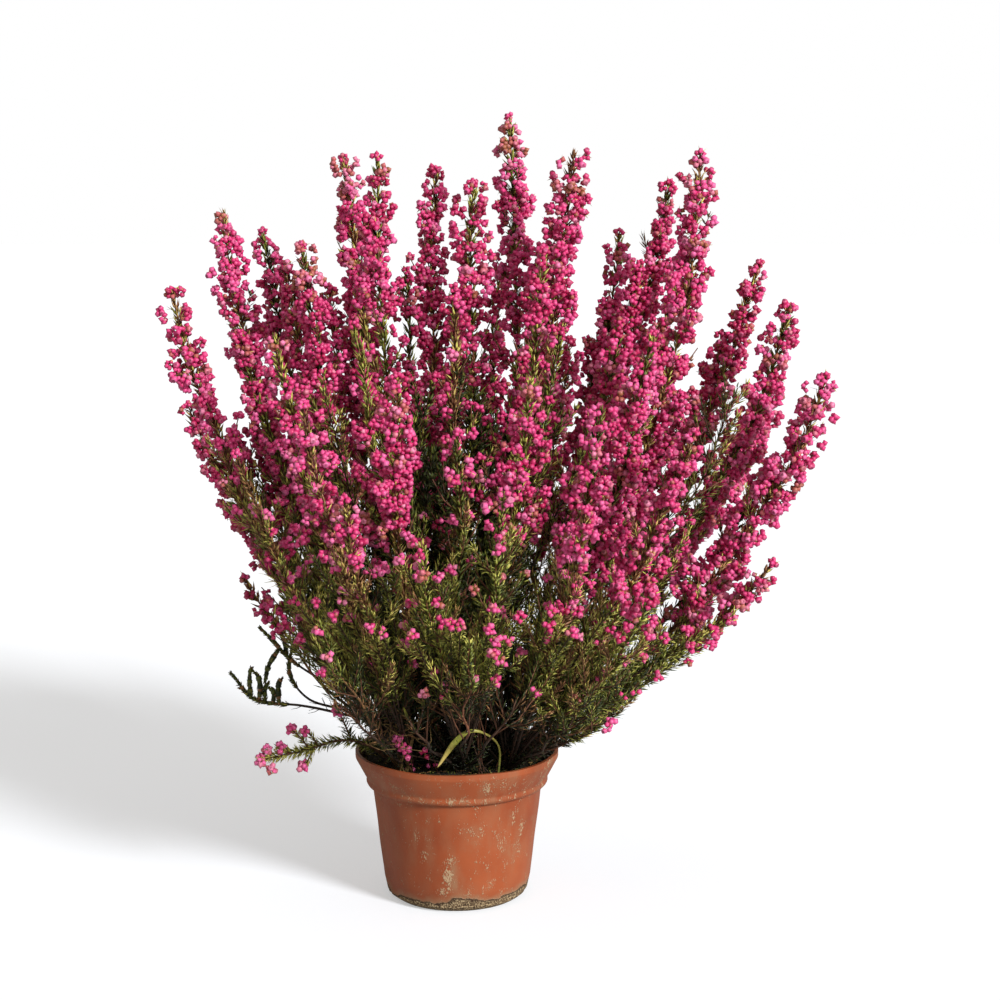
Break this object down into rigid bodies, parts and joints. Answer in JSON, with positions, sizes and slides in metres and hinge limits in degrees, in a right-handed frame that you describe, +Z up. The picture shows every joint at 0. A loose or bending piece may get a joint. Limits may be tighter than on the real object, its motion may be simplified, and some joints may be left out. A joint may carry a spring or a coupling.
{
  "type": "potted cape heath",
  "caption": "Bushy cape heath in flower in a round flared plastic pot: upright needle-leaved stems with slender spikes of tiny urn-shaped flowers, fanning out from a peat-filled pot.",
  "frame": {"origin": "Centre of the pot's underside, on the surface that it stands on", "axes": "+Z up along the pot's axis. The picture looks along +Y, so its right is +X and the side facing it is -Y."},
  "size_m": [0.3787, 0.3083, 0.4581],
  "materials": {
    "terracotta_plastic": "satin moulded plastic with pale lime marks",
    "peat": "moist crumbly peat",
    "foliage": "fine green needles on reddish-brown stems",
    "flowers": "waxy petals",
    "dry_bark": "dry bark",
    "yellow_grass": "smooth blade"
  },
  "bodies": {
    "root": {"pot": "terracotta_plastic", "peat": "peat", "dry_twigs_left": "dry_bark", "drooping_sprig_left": "foliage", "grass_blade": "yellow_grass", "stem_back_left": "foliage", "spike_back_left_1": "flowers", "spike_back_left_2": "flowers", "spike_back_left_3": "flowers", "spike_back_left_4": "flowers", "spike_back_left_5": "flowers", "stem_back_mid": "foliage", "spike_back_mid_1": "flowers", "spike_back_mid_2": "flowers", "spike_back_mid_3": "flowers", "spike_back_mid_4": "flowers", "spike_back_mid_5": "flowers", "stem_back_right": "foliage", "spike_back_right_1": "flowers", "spike_back_right_2": "flowers", "spike_back_right_3": "flowers", "spike_back_right_4": "flowers", "spike_back_right_5": "flowers", "stem_mid_left": "foliage", "spike_mid_left_1": "flowers", "spike_mid_left_2": "flowers", "spike_mid_left_3": "flowers", "spike_mid_left_4": "flowers", "spike_mid_left_5": "flowers", "stem_middle": "foliage", "spike_middle_1": "flowers", "spike_middle_2": "flowers", "spike_middle_3": "flowers", "spike_middle_4": "flowers", "spike_middle_5": "flowers", "stem_mid_right": "foliage", "spike_mid_right_1": "flowers", "spike_mid_right_2": "flowers", "spike_mid_right_3": "flowers", "spike_mid_right_4": "flowers", "spike_mid_right_5": "flowers", "stem_front_left": "foliage", "spike_front_left_1": "flowers", "spike_front_left_2": "flowers", "spike_front_left_3": "flowers", "spike_front_left_4": "flowers", "spike_front_left_5": "flowers", "stem_front_mid": "foliage", "spike_front_mid_1": "flowers", "spike_front_mid_2": "flowers", "spike_front_mid_3": "flowers", "spike_front_mid_4": "flowers", "spike_front_mid_5": "flowers", "stem_front_right": "foliage", "spike_front_right_1": "flowers", "spike_front_right_2": "flowers", "spike_front_right_3": "flowers", "spike_front_right_4": "flowers", "spike_front_right_5": "flowers"}
  },
  "joints": []
}
